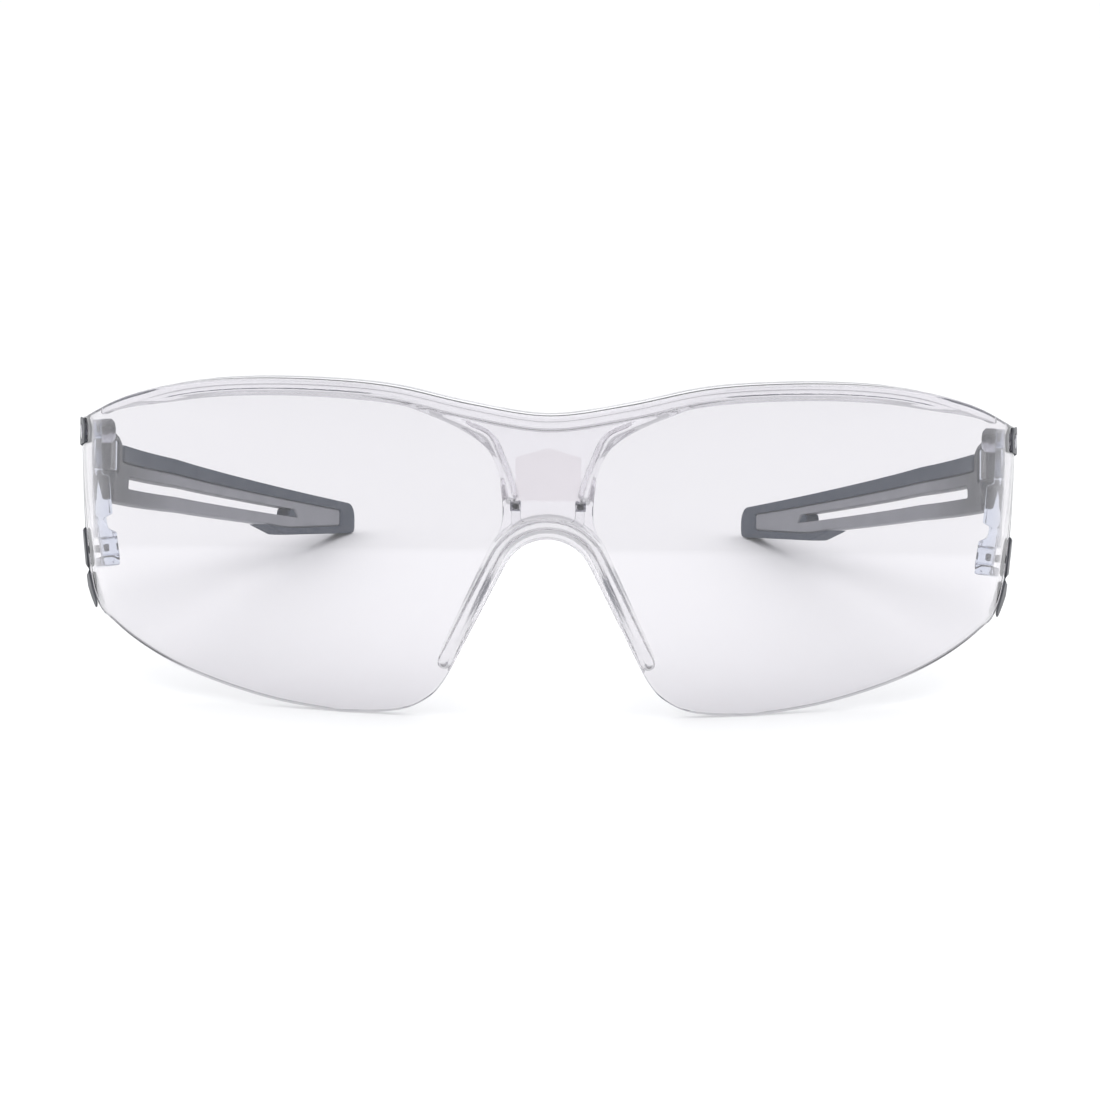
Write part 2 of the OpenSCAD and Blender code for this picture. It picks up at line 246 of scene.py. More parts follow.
def crossing(a, b):
    """Polyline a up to where it meets polyline b, then b from there on."""
    for i in range(len(a) - 1):
        p, r = np.array(a[i], float), np.array(a[i + 1], float) - a[i]
        for j in range(len(b) - 1):
            q, v = np.array(b[j], float), np.array(b[j + 1], float) - b[j]
            det = r[0] * v[1] - r[1] * v[0]
            if abs(det) < 1e-12:
                continue
            f = ((q - p)[0] * v[1] - (q - p)[1] * v[0]) / det
            g = ((q - p)[0] * r[1] - (q - p)[1] * r[0]) / det
            if 0 <= f <= 1 and 0 <= g <= 1:
                return list(a[:i + 1]) + [p + f * r] + list(b[j + 1:])
    raise ValueError("the two lines don't meet")


def mirrored(half):
    """A closed outline from its right half, which starts and ends on the middle line."""
    left = [(-p[0], p[1]) for p in reversed(half) if abs(p[0]) > 1e-6]
    return [tuple(p) for p in half] + left


def rectangle(a, b):
    return [(a[0], b[0]), (a[1], b[0]), (a[1], b[1]), (a[0], b[1])]


def ring(centre, radius, count):
    turn = np.arange(count) * 2 * math.pi / count
    return np.stack([centre[0] + radius * np.cos(turn), centre[1] + radius * np.sin(turn)], -1)


def rivet_hole(side=1):
    return ring((side * RIVET_SPOT[0], RIVET_SPOT[1]), HOLE_R, 28)


BROW_LINE = np.array(smooth([(-x, z) for x, z in reversed(BROW[1:])] + BROW))


def brow_height(x):
    return np.interp(np.abs(x), BROW_LINE[len(BROW_LINE) // 2:, 0],
                     BROW_LINE[len(BROW_LINE) // 2:, 1])


def brow_edge(stations):
    """The lens's top edge at distances along the lens, as points of s and z."""
    return [(s, float(brow_height(np.interp(abs(s), WRAP_S, WRAP_X)))) for s in stations]


def step_up(value, low, high):
    """0 below low, 1 above high, and smooth between."""
    f = np.clip((value - low) / (high - low), 0, 1)
    return f * f * (3 - 2 * f)


def between(value, ends, ease):
    """1 between two ends and 0 outside them, smooth over ease to both sides of each."""
    low, high = ends
    return step_up(value, low - ease, low + ease) * (1 - step_up(value, high - ease, high + ease))


def distance_to(points, a, b):
    """Distance of the points (a, b) from a polyline."""
    best = np.full(np.shape(a), 1e9)
    for (x0, y0), (x1, y1) in zip(points[:-1], points[1:]):
        dx, dy = x1 - x0, y1 - y0
        f = np.clip(((a - x0) * dx + (b - y0) * dy) / (dx * dx + dy * dy), 0, 1)
        best = np.minimum(best, np.hypot(a - x0 - f * dx, b - y0 - f * dy))
    return best


# ---------------------------------------------------------------- solids
class Solid:
    """Vertices, exact normals and faces of one piece, gathered from closed shells."""

    def __init__(self):
        self.points, self.normals, self.faces, self.count = [], [], [], 0

    def add(self, local, local_normals, faces, place):
        """A closed shell in its own frame, put in place by a map whose bends turn the normals too."""
        small = 1e-3
        put = place(*local.T)
        axes = []
        for i in range(3):
            shift = np.zeros(3)
            shift[i] = small
            axes.append((place(*(local + shift).T) - place(*(local - shift).T)) / (2 * small))
        turned_normals = sum(local_normals[:, i:i + 1] * np.cross(axes[i - 2], axes[i - 1])
                             for i in range(3))
        inside_out = float(np.sum(np.cross(axes[0], axes[1]) * axes[2])) < 0
        if inside_out:
            turned_normals = -turned_normals
        turned_normals /= np.linalg.norm(turned_normals, axis=1, keepdims=True) + 1e-12
        self.points.append(put)
        self.normals.append(turned_normals)
        self.faces += [tuple(self.count + i for i in (f[::-1] if inside_out else f))
                       for f in faces]
        self.count += len(put)


def inward(loop):
    """Unit step into the material at each point of an outline, stretched at corners."""
    edge = np.roll(loop, -1, axis=0) - loop
    edge /= np.linalg.norm(edge, axis=1, keepdims=True) + 1e-12
    left = np.stack([-edge[:, 1], edge[:, 0]], -1)
    both = left + np.roll(left, 1, axis=0)
    both /= np.linalg.norm(both, axis=1, keepdims=True) + 1e-12
    return both / np.maximum(np.sum(both * left, axis=1, keepdims=True), 0.75)


def half_width(rim, steps, about):
    """Half the least distance across the material from the rim points near each rim point."""
    unit = steps / np.linalg.norm(steps, axis=1, keepdims=True)
    found = np.full(len(rim), 1e9)
    for i, (p, n) in enumerate(zip(rim, unit)):
        facing = (unit @ n < -0.3) & ((rim - p) @ n > 0)
        if facing.any():
            found[i] = np.min(np.hypot(*(rim[facing] - p).T)) / 2
    return np.array([np.min(found[np.hypot(*(rim - p).T) < about]) for p in rim])


def within(points, loops):
    """Which points are inside the first outline and outside the holes."""
    odd = np.zeros(len(points), bool)
    x, y = points[:, 0], points[:, 1]
    for loop in loops:
        for (x0, y0), (x1, y1) in zip(loop, np.roll(loop, -1, axis=0)):
            if y0 != y1:
                hit = (y0 > y) != (y1 > y)
                odd ^= hit & (x < (x1 - x0) * (y - y0) / (y1 - y0) + x0)
    return odd


def clearance(points, others):
    """Distance of each point from the nearest of the others."""
    return np.array([np.min(np.hypot(*(others - p).T), initial=1e9) for p in points])


def fill(loops, grid, lines=()):
    """Points and triangles over an area with holes, or None where its outlines cross.

    Points stand in rows of even triangles, grid apart, and also along lines, where the surface
    steps. None stands too close to an outline or to another line's points.
    """
    rim = np.vstack(loops)
    edges, start = [], 0
    for loop in loops:
        edges += [(start + i, start + (i + 1) % len(loop)) for i in range(len(loop))]
        start += len(loop)
    low, high = rim.min(0), rim.max(0)
    rows = np.arange(low[1], high[1], grid * 0.866)
    lattice = np.array([(x + grid / 2 * (k % 2), y) for k, y in enumerate(rows)
                        for x in np.arange(low[0], high[0], grid)])
    spots = np.zeros((0, 2))
    for line in lines:
        more = resample(np.array(line), 0.5 * grid, False)
        spots = np.vstack([spots, more[clearance(more, spots) > 0.12]])
    lattice = np.vstack([lattice[clearance(lattice, spots) > 0.45 * grid], spots])
    lattice = lattice[within(lattice, loops)]
    if len(lattice):
        lattice = lattice[clearance(lattice, rim) > (0.3 if lines else 0.55) * grid]
    points = np.vstack([rim, lattice.reshape(-1, 2)])
    out = delaunay_2d_cdt([Vector(p) for p in points], edges, [], 1, 1e-7)
    if not all(out[3]):
        return None
    first = [o[0] for o in out[3]]
    faces = [[first[i] for i in f] for f in out[2]]
    middles = np.array([points[f].mean(0) for f in faces])
    good = within(middles, loops)
    kept = []
    for f, ok in zip(faces, good):
        (x0, y0), (x1, y1), (x2, y2) = points[f]
        if ok:
            kept.append(f if (x1 - x0) * (y2 - y0) > (x2 - x0) * (y1 - y0) else f[::-1])
    return points, kept


def add_slab(solid, loops, place, thick, edge, grid, arc=4, rows=1, lines=()):
    """A moulded plate with rounded edges: outline and holes, thick along t, bent by place.

    Hold is a flat margin between the rounding and the inner triangles.
    """
    loops = [turned(np.array(loop), k == 0) for k, loop in enumerate(loops)]
    hold = 0.12
    lower = [(edge + hold, 0.0, 0.0, -1.0)]
    for k in range(arc + 1):
        a = -math.pi / 2 * (1 - k / arc)
        lower.append((edge * (1 - math.cos(a)), edge * (1 + math.sin(a)), math.cos(a), math.sin(a)))
    middle = [(0.0, edge + (thick - 2 * edge) * k / rows, 1.0, 0.0) for k in range(1, rows)]
    upper = [(inset, thick - t, flat, -up) for inset, t, flat, up in reversed(lower)]
    rings = lower + middle + upper
    starts = np.cumsum([0] + [len(loop) for loop in loops])
    total = int(starts[-1])
    rim = np.vstack(loops)
    steps = np.vstack([inward(loop) * (HOLE_ROUND if k else 1) for k, loop in enumerate(loops)])
    steps *= np.minimum(1, 0.8 * half_width(rim, steps, 2 * edge) / (edge + hold))[:, None]
    found = None
    while found is None:
        inner = rim + steps * (edge + hold)
        found = fill([inner[a:b] for a, b in zip(starts[:-1], starts[1:])], grid, lines)
        steps *= 0.85 if found is None else 1
    points, triangles = found
    unit = steps / np.linalg.norm(steps, axis=1, keepdims=True)
    local, normals, faces = [], [], []
    for inset, t, flat, up in rings:
        local.append(np.column_stack([rim + steps * inset, np.full(total, t)]))
        normals.append(np.column_stack([-unit * flat, np.full(total, up)]))
    for j in range(len(rings) - 1):
        for a, b in zip(starts[:-1], starts[1:]):
            for i in range(a, b):
                n = a + (i + 1 - a) % (b - a)
                faces.append((j * total + i, j * total + n, (j + 1) * total + n,
                              (j + 1) * total + i))
    extra = points[total:]
    base = len(rings) * total
    for first, t, up, flip in ((0, 0.0, -1.0, True), ((len(rings) - 1) * total, thick, 1.0, False)):
        local.append(np.column_stack([extra, np.full(len(extra), t)]))
        normals.append(np.tile([0, 0, up], (len(extra), 1)))
        for f in triangles:
            at = [first + i if i < total else base + i - total for i in f]
            faces.append(tuple(at[::-1] if flip else at))
        base += len(extra)
    solid.add(np.vstack(local), np.vstack(normals).astype(float), faces, place)


def add_lathe(solid, profile, place, edge, step, turns):
    """A turned piece: profile of radius and height from pole to pole, bottom first."""
    loop = [(r, h) for r, h in profile] + [(-r, h) for r, h in reversed(profile) if r > 0]
    loop = turned(soften(loop, edge, step), True)
    start = int(np.argmin(np.abs(loop[:, 0]) + (loop[:, 1] > np.mean(loop[:, 1])) * 99))
    loop = np.roll(loop, -start, axis=0)
    half = [p for p in loop[1:] if p[0] > 1e-3]
    slope = np.gradient(np.array([loop[0]] + half + [(0, half[-1][1])]), axis=0)[1:-1]
    low, high = loop[:, 1].min(), loop[:, 1].max()
    angles = np.arange(turns) * 2 * math.pi / turns
    local, normals, faces = [[(0, 0, low)]], [[(0, 0, -1)]], []
    for (r, h), (dr, dh) in zip(half, slope):
        local.append([(r * math.cos(a), r * math.sin(a), h) for a in angles])
        n = np.array([dh, -dr]) / (math.hypot(dh, dr) + 1e-12)
        normals.append([(n[0] * math.cos(a), n[0] * math.sin(a), n[1]) for a in angles])
    local.append([(0, 0, high)])
    normals.append([(0, 0, 1)])
    count = len(half)
    for i in range(turns):
        n = (i + 1) % turns
        faces.append((0, 1 + n, 1 + i))
        for k in range(count - 1):
            a, b = 1 + k * turns, 1 + (k + 1) * turns
            faces.append((a + i, a + n, b + n, b + i))
        top = 1 + (count - 1) * turns
        faces.append((top + i, top + n, 1 + count * turns))
    solid.add(np.vstack(local).astype(float), np.vstack(normals).astype(float), faces, place)


def make_piece(name, solid, body, node, material, side=1):
    """The finished object: in metres, mirrored for the right side, riding on its body."""
    points, normals = np.vstack(solid.points) * MM, np.vstack(solid.normals)
    faces = solid.faces
    if side < 0:
        points[:, 0] *= -1
        normals[:, 0] *= -1
        faces = [f[::-1] for f in faces]
    mesh = bpy.data.meshes.new(name)
    mesh.from_pydata(points.tolist(), [], faces)
    mesh.polygons.foreach_set("use_smooth", [True] * len(mesh.polygons))
    mesh.normals_split_custom_set_from_vertices(normals.tolist())
    mesh.materials.append(material)
    piece = bpy.data.objects.new(name, mesh)
    bpy.context.scene.collection.objects.link(piece)
    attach(piece, body)
    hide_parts(node)
    return piece


# ---------------------------------------------------------------- materials
class Shader:
    """A material's node tree with short calls for the nodes that all of them use."""

    def __init__(self, name):
        self.material = bpy.data.materials.new(name)
        self.material.use_nodes = True
        self.tree = self.material.node_tree
        self.tree.nodes.clear()
        self.out = self.tree.nodes.new("ShaderNodeOutputMaterial")
        self.main = self.tree.nodes.new("ShaderNodeBsdfPrincipled")
        self.link(self.main.outputs[0], self.out.inputs["Surface"])
        self.where = self.tree.nodes.new("ShaderNodeTexCoord").outputs["Object"]

    def link(self, a, b):
        self.tree.links.new(a, b)

    def set(self, **values):
        for name, value in values.items():
            self.main.inputs[name.replace("_", " ")].default_value = value

    def noise(self, size_mm, detail=3.0, roughness=0.5, stretch=(1, 1, 1)):
        """Noise whose lumps are about size_mm across."""
        spread = self.tree.nodes.new("ShaderNodeMapping")
        spread.inputs["Scale"].default_value = stretch
        self.link(self.where, spread.inputs["Vector"])
        node = self.tree.nodes.new("ShaderNodeTexNoise")
        node.inputs["Scale"].default_value = 1 / (size_mm * MM)
        node.inputs["Detail"].default_value = detail
        node.inputs["Roughness"].default_value = roughness
        self.link(spread.outputs[0], node.inputs["Vector"])
        return node.outputs["Fac"]

    def ramp(self, value, *stops):
        """Colour ramp over stops of (place, colour or grey level)."""
        node = self.tree.nodes.new("ShaderNodeValToRGB")
        marks = node.color_ramp.elements
        while len(marks) < len(stops):
            marks.new(0.5)
        for mark, (place, level) in zip(marks, stops):
            mark.position = place
            mark.color = (level, level, level, 1) if np.isscalar(level) else (*level, 1)
        self.link(value, node.inputs[0])
        return node.outputs[0]

    def mix(self, factor, a, b):
        """Colour a where factor is 0 and colour b where it is 1."""
        node = self.tree.nodes.new("ShaderNodeMix")
        node.data_type = "RGBA"
        self.link(factor, node.inputs["Factor"])
        for value, socket in ((a, node.inputs[6]), (b, node.inputs[7])):
            if isinstance(value, tuple):
                socket.default_value = (*value, 1)
            else:
                self.link(value, socket)
        return node.outputs[2]

    def math(self, kind, a, b=0.0):
        node = self.tree.nodes.new("ShaderNodeMath")
        node.operation = kind
        for value, socket in ((a, node.inputs[0]), (b, node.inputs[1])):
            if np.isscalar(value):
                socket.default_value = value
            else:
                self.link(value, socket)
        return node.outputs[0]

    def axes(self):
        """X, Y and Z of the shaded point in the row frame at rest, in metres."""
        split = self.tree.nodes.new("ShaderNodeSeparateXYZ")
        self.link(self.where, split.inputs[0])
        return split.outputs

    def near(self, value, middle_mm, reach_mm):
        """1 within reach of the middle and 0 elsewhere."""
        away = self.math("ABSOLUTE", self.math("SUBTRACT", value, middle_mm * MM))
        return self.math("LESS_THAN", away, reach_mm * MM)

    def bump(self, height, depth_mm, strength=1.0, under=None):
        node = self.tree.nodes.new("ShaderNodeBump")
        node.inputs["Distance"].default_value = depth_mm * MM
        node.inputs["Strength"].default_value = strength
        self.link(height, node.inputs["Height"])
        if under is not None:
            self.link(under, node.inputs["Normal"])
        return node.outputs[0]

    def colour(self, socket):
        self.link(socket, self.main.inputs["Base Color"])

    def rough(self, socket):
        self.link(socket, self.main.inputs["Roughness"])

    def normal(self, socket):
        self.link(socket, self.main.inputs["Normal"])

    def edges(self, low, high):
        """1 on worn outer edges and 0 elsewhere."""
        about = self.tree.nodes.new("ShaderNodeNewGeometry")
        return self.ramp(about.outputs["Pointiness"], (low, 0.0), (high, 1.0))

    def lets_lamps_through(self, tint):
        """Lamp light passes on through clear plastic, so its shadow is as pale as a real one."""
        clear = self.tree.nodes.new("ShaderNodeBsdfTransparent")
        clear.inputs["Color"].default_value = (*tint, 1)
        path = self.tree.nodes.new("ShaderNodeLightPath")
        both = self.tree.nodes.new("ShaderNodeMixShader")
        self.link(path.outputs["Is Shadow Ray"], both.inputs[0])
        self.link(self.main.outputs[0], both.inputs[1])
        self.link(clear.outputs[0], both.inputs[2])
        self.link(both.outputs[0], self.out.inputs["Surface"])


def clear_shader(name, tint, rough, wear, shadow, ripple_mm):
    """Moulded polycarbonate: faint flow ripples, and haze where fingers and cloths touch it.

    Its roughness goes from rough to wear, and shadow is the colour that lamps leave behind it.
    """
    s = Shader(name)
    s.set(Transmission_Weight=1.0, IOR=1.52, Base_Color=(*tint, 1))
    s.haze = s.ramp(s.noise(9, 4, 0.6), (0.35, rough), (0.75, wear))
    s.rough(s.haze)
    s.normal(s.bump(s.noise(14, 1.5), ripple_mm, 0.6))
    s.lets_lamps_through(shadow)
    return s


def clear_plastic(name, **settings):
    return clear_shader(name, **settings).material


def brow_plastic():
    """Clear plastic with an etched five-sided patch, and painted shade that makes its slot walls
    dark.
    """
    # the third colour is painted shade for the slot walls
    tint, patch_tint, slot_shade_tint = (0.975, 0.97, 0.985), (0.9, 0.87, 0.89), (0.12, 0.12, 0.15)
    s = clear_shader("clear_brow_plastic", tint, rough=0.015, wear=0.07, shadow=(0.9, 0.9, 0.92),
                     ripple_mm=0.005)
    at = s.axes()
    half = s.math("ABSOLUTE", at["X"])
    peak = s.math("ADD", at["Z"], s.math("MULTIPLY", half, PATCH_SLOPE))
    marks = [s.math("LESS_THAN", half, PATCH_HALF * MM),
             s.math("GREATER_THAN", at["Z"], PATCH_Z[0] * MM),
             s.math("LESS_THAN", peak, PATCH_Z[1] * MM)]
    patch = s.math("MULTIPLY", s.math("MULTIPLY", marks[0], marks[1]), marks[2])
    # painted shade: the slot walls are coloured dark, as the slots lie in shade
    slot = s.math("MULTIPLY", s.near(half, SLOT_X, SLOT_SHADE[0]),
                  s.near(at["Z"], SLOT_Z, SLOT_SHADE[1]))
    s.colour(s.mix(slot, s.mix(patch, tint, patch_tint), slot_shade_tint))
    s.rough(s.math("ADD", s.math("MULTIPLY", patch, 0.12), s.haze))
    return s.material


def soft_clear_material():
    """Clear elastomer with a fine satin skin: slightly milky, with painted shade making it dark where
    its hooks sit in the slots.
    """
    s = Shader("soft_clear_elastomer")
    s.set(Transmission_Weight=0.94, IOR=1.41)
    at = s.axes()
    half = s.math("ABSOLUTE", at["X"])
    # painted shade: the hooks are coloured near black where they sit in the brow's slots
    hook = s.math("MULTIPLY", s.near(half, SLOT_X, SLOT_HALF[0]),
                  s.near(at["Z"], SLOT_Z, SLOT_HALF[1]))
    s.colour(s.mix(hook, (1.0, 1.0, 1.0), (0.08, 0.08, 0.1)))
    s.rough(s.ramp(s.noise(3, 4, 0.6), (0.3, 0.06), (0.8, 0.2)))
    s.normal(s.bump(s.noise(0.35, 3), 0.01, 0.5))
    s.lets_lamps_through((0.92, 0.92, 0.94))
    return s.material


# the painted shade at the temple's root fades out over this reach behind the hinge
ROOT_SHADE_REACH = 40


def moulded(name, base, light, rough, grain_mm, grain_depth, wear_colour, gloss, root=None):
    """Opaque moulded plastic or rubber: mottled colour, fine spark grain and worn edges.

    With root, the colour fades to it towards the hinge: painted shade, as the temple's root behind
    the hinge lies in shade.
    """
    s = Shader(name)
    mottle = s.mix(s.ramp(s.noise(6, 5, 0.6), (0.35, 0.0), (0.7, 1.0)), base, light)
    mottle = s.mix(s.edges(0.53, 0.6), mottle, wear_colour)
    s.set(Specular_IOR_Level=gloss)
    # root is painted shade: the colour darkens towards the hinge, where the root lies in shade
    if root is not None:
        behind = s.math("SUBTRACT", s.axes()["Y"], HINGE[1] * MM)
        root_shade = s.ramp(s.math("MULTIPLY", behind, 1 / (ROOT_SHADE_REACH * MM)), (0.1, 1.0), (0.65, 0.0))
        mottle = s.mix(root_shade, mottle, root)
    s.colour(mottle)
    s.rough(s.ramp(s.noise(2.2, 5, 0.65), (0.3, rough[0]), (0.75, rough[1])))
    fine = s.bump(s.noise(grain_mm, 3, 0.6), grain_depth, 0.7)
    s.normal(s.bump(s.noise(5, 2), grain_depth * 1.5, 0.35, fine))
    return s.material


LENS_PLASTIC = clear_plastic("clear_polycarbonate", tint=(0.765, 0.75, 0.775), rough=0.0,
                             wear=0.025, shadow=(0.93, 0.93, 0.94), ripple_mm=0.002)
HINGE_PLASTIC = clear_plastic("clear_hinge_plastic", tint=(0.7, 0.745, 0.85), rough=0.015,
                              wear=0.08, shadow=(0.84, 0.86, 0.9), ripple_mm=0.006)
RIVET_PLASTIC = clear_plastic("smoky_rivet_plastic", tint=(0.5, 0.5, 0.57), rough=0.05,
                              wear=0.16, shadow=(0.6, 0.6, 0.66), ripple_mm=0.006)
BROW_PLASTIC = brow_plastic()
SOFT_CLEAR = soft_clear_material()
TRIM_PLASTIC = moulded("dark_trim_plastic", base=(0.05, 0.052, 0.06), light=(0.07, 0.074, 0.084),
                       rough=(0.34, 0.5), grain_mm=0.18, grain_depth=0.012,
                       wear_colour=(0.11, 0.115, 0.125), gloss=0.4)
# root is painted shade that darkens the temple towards the hinge
TEMPLE_PLASTIC = moulded("grey_temple_plastic", base=(0.195, 0.2, 0.225),
                         light=(0.225, 0.23, 0.255), rough=(0.36, 0.5), grain_mm=0.14,
                         grain_depth=0.01, wear_colour=(0.3, 0.305, 0.32), gloss=0.2,
                         root=(0.055, 0.06, 0.072))
GRIP_RUBBER = moulded("soft_grip_rubber", base=(0.048, 0.06, 0.086), light=(0.06, 0.073, 0.1),
                      rough=(0.55, 0.75), grain_mm=0.1, grain_depth=0.014,
                      wear_colour=(0.1, 0.115, 0.145), gloss=0.14)


# ---------------------------------------------------------------- lens
def notch_side(out, down):
    """A point on the straight side of the nose notch, out from its edge and down from its arc."""
    c, s = math.cos(NOTCH_LEAN), math.sin(NOTCH_LEAN)
    return ((NOTCH_R + out) * c + down * s, NOTCH_TOP - NOTCH_R + (NOTCH_R + out) * s - down * c)


def notch_arc(out, step=6):
    """The notch's arc from its straight side to the middle."""
    first = math.degrees(NOTCH_LEAN)
    turn = [first + step * k for k in range(int((90 - first) / step) + 1)] + [90]
    return [((NOTCH_R + out) * math.cos(math.radians(a)),
             NOTCH_TOP - NOTCH_R + (NOTCH_R + out) * math.sin(math.radians(a))) for a in turn]


def lens_outline():
    top = brow_edge(np.arange(0, 96, 1.0))
    rear = sheet_points([(REAR_U, 14), (REAR_U, -12)] + smooth(CORNER))
    cheek = [(s_at_x(x), z) for x, z in smooth([(76, 14.2)] + CHEEK)]
    low = crossing(rear, cheek) + [(s_at_x(x), z) for x, z in notch_arc(0)]
    return mirrored(crossing(top, low))


def make_lens():
    def place(s, z, t):
        return wrap(s, z, t / LENS_T * lens_thick(s))

    solid = Solid()
    loops = [soften(lens_outline(), 0.7, 0.7)] + [rivet_hole(side) for side in SIDES.values()]
    add_slab(solid, loops, place, LENS_T, edge=0.5, grid=1.6)
    make_piece("lens_shell", solid, "front", "lens", LENS_PLASTIC)


# ---------------------------------------------------------------- brow moulding
RAIL_H = 2.8
RAIL_T = 2.55
PLATE_T = 1.65
RAIL_END = 79.0
RAIL_TAPER = 20
RAIL_LOSS = 0.62
RAIL_STEP = (-0.55, 0.05)
GROOVE_Z = 1.6
GROOVE_DEPTH = 0.13
GROOVE_HALF = 0.6
GROOVE_FLOOR = 0.05
RIB_T = 1.05
RIB_R = 1.35
RIB_FADE = (11.5, 16.3)
PLATE_EDGE = [(23.5, 48.2), (15, 45.1), (9.8, 42), (7.8, 38.6), (7.1, 35), (6.9, 31.6),
              (7.3, 29.3), (8.3, 27)]
PLATE_INSET = 3.1
RIB = smooth([(16.6, 46.2), (12.2, 44.4), (9.3, 42.9), (7.6, 39.6), (6.3, 36.4), (5.7, 34.3)])


def rail_share(s):
    """How full the rail's section is: it runs out towards its ends."""
    return 1 - RAIL_LOSS * step_up(np.abs(s), RAIL_END - RAIL_TAPER, RAIL_END)


def brow_outline():
    top = brow_edge(np.arange(0, RAIL_END, 1))
    under = [(s, z - RAIL_H * float(rail_share(s))) for s, z in reversed(top)]
    arch = [p for p in notch_arc(PLATE_INSET) if p[0] < 8.1]
    plate = [(23.5, 49)] + smooth(PLATE_EDGE) + arch
    return mirrored(top + crossing(under, plate))


def brow_depth(s, z):
    """Depth of the moulding: a grooved rail, the plate and two round ribs."""
    x = np.interp(np.abs(s), WRAP_S, WRAP_X)
    below = brow_height(x) - z
    rail = (RAIL_T - PLATE_T) * (1 - step_up(below, RAIL_H + RAIL_STEP[0], RAIL_H + RAIL_STEP[1]))
    rail = rail - GROOVE_DEPTH * (1 - step_up(np.abs(below - GROOVE_Z), GROOVE_FLOOR,
                                                  GROOVE_HALF))
    rib = RIB_T * (1 - step_up(distance_to(RIB, x, z), 0, RIB_R))
    rib = rib * (1 - step_up(x, *RIB_FADE))
    return (PLATE_T + np.maximum(rail, rib)) * rail_share(s)


def aside(line, d):
    """A line moved to its left by d."""
    line = np.array(line)
    along = np.gradient(line, axis=0)
    along /= np.linalg.norm(along, axis=1, keepdims=True)
    return line + d * np.stack([-along[:, 1], along[:, 0]], -1)


def brow_steps():
    """Lines along the rail, its groove and the ribs."""
    top = np.array(brow_edge(np.arange(-RAIL_END, RAIL_END, 0.8)))
    drops = [GROOVE_Z + share * GROOVE_HALF for share in (-1, -0.5, 0, 0.5, 1)]
    drops += [RAIL_H + d for d in (RAIL_STEP[0], -0.25, RAIL_STEP[1])]
    lines = [top - (0, drop) for drop in drops]
    for d in np.linspace(-RIB_R, RIB_R, 9):
        half = [(s_at_x(x), z) for x, z in aside(RIB, d) if z < brow_height(x) - RAIL_H - 0.3]
        lines += [half, [(-s, z) for s, z in half]]
    return lines


def make_brow():
    def place(s, z, t):
        return wrap(s, z, lens_thick(s) + GAP + t / RAIL_T * brow_depth(s, z))

    solid = Solid()
    wide, high = SLOT_HALF
    slots = [soften(rectangle((side * SLOT_X - wide, side * SLOT_X + wide),
                              (SLOT_Z - high, SLOT_Z + high)), 0.2, 0.15)
             for side in SIDES.values()]
    add_slab(solid, [soften(brow_outline(), 0.5, 0.5)] + slots, place, RAIL_T, edge=0.7, grid=0.55,
             lines=brow_steps())
    make_piece("brow_moulding", solid, "front", "brow_bar", BROW_PLASTIC)


# ---------------------------------------------------------------- nose piece
ARM_IN = 0.6
ARM_W = 2.2
ARM_L = 18.5
ARM_SPREAD = 0.9
ARM_SINK = 0.25
SADDLE_T = 6.9
HOOK_HALF, HOOK_Z = 0.5, (32.5, 33.3)
STEM_HALF, STEM_Z = 0.75, (29.8, 33.6)


def make_nose():
    end = [(notch_side(ARM_IN + ARM_W / 2 * (1 + math.cos(a)), ARM_L + ARM_W / 2 * math.sin(a)))
           for a in np.radians(np.arange(0, 181, 15))]
    half = list(reversed(notch_arc(ARM_IN + ARM_W))) + end + notch_arc(ARM_IN)
    band = soften(mirrored(half), 0.3, 0.3)

    def place(s, z, t):
        """The arms open outwards a little, and their rear lips lie a little lower."""
        back = (t / SADDLE_T) ** 2
        out = np.sign(s) * step_up(np.abs(s), 0, 6)
        return wrap(s + out * (ARM_SPREAD * back), z - ARM_SINK * back, LENS_T + GAP + t)

    solid = Solid()
    add_slab(solid, [band], place, SADDLE_T, edge=0.85, grid=0.7, arc=5, rows=6)
    for side in SIDES.values():
        def hook(x, z, t, side=side):
            return wrap(side * SLOT_X + x, z, LENS_T + 0.6 + t)

        def stem(x, z, t, side=side):
            return wrap(side * SLOT_X + x, z, LENS_T + PLATE_T + 2 * GAP + t)

        add_slab(solid, [soften(rectangle((-HOOK_HALF, HOOK_HALF), HOOK_Z), 0.15, 0.12)], hook,
                 thick=1.7, edge=0.12, grid=0.4, arc=2)
        add_slab(solid, [soften(rectangle((-STEM_HALF, STEM_HALF), STEM_Z), 0.3, 0.2)], stem,
                 thick=1.3, edge=0.35, grid=0.5, arc=3)
    make_piece("nose_saddle", solid, "front", "nose_piece", SOFT_CLEAR)


# ---------------------------------------------------------------- hinge carriers
CARRIER_T = 1.4
BOX_T = 1.4
WEB_T = 1.2
WEB_W = (-10.4, -4.0)
WEB_EASE = 0.3
BOSS_T = 0.15
BOSS_R = (1.9, 2.4)
BAR_U = -8.6


def carrier_depth(s, z):
    """Depth of the bar behind the lens's edge: thicker at its web, its lower box and its rivet."""
    corners = np.array(sheet_points(rectangle((BOX_U, REAR_U), BOX_W)))
    low, high = corners.min(0), corners.max(0)
    away = np.maximum(np.maximum(low[0] - s, s - high[0]), np.maximum(low[1] - z, z - high[1]))
    box = BOX_T * (1 - step_up(away, -0.5, 0.35))
    boss = BOSS_T * (1 - step_up(np.hypot(s - RIVET_SPOT[0], z - RIVET_SPOT[1]), *BOSS_R))
    web = WEB_T * between(from_sheet(s, z)[1], WEB_W, WEB_EASE)
    return CARRIER_T + web + box + boss


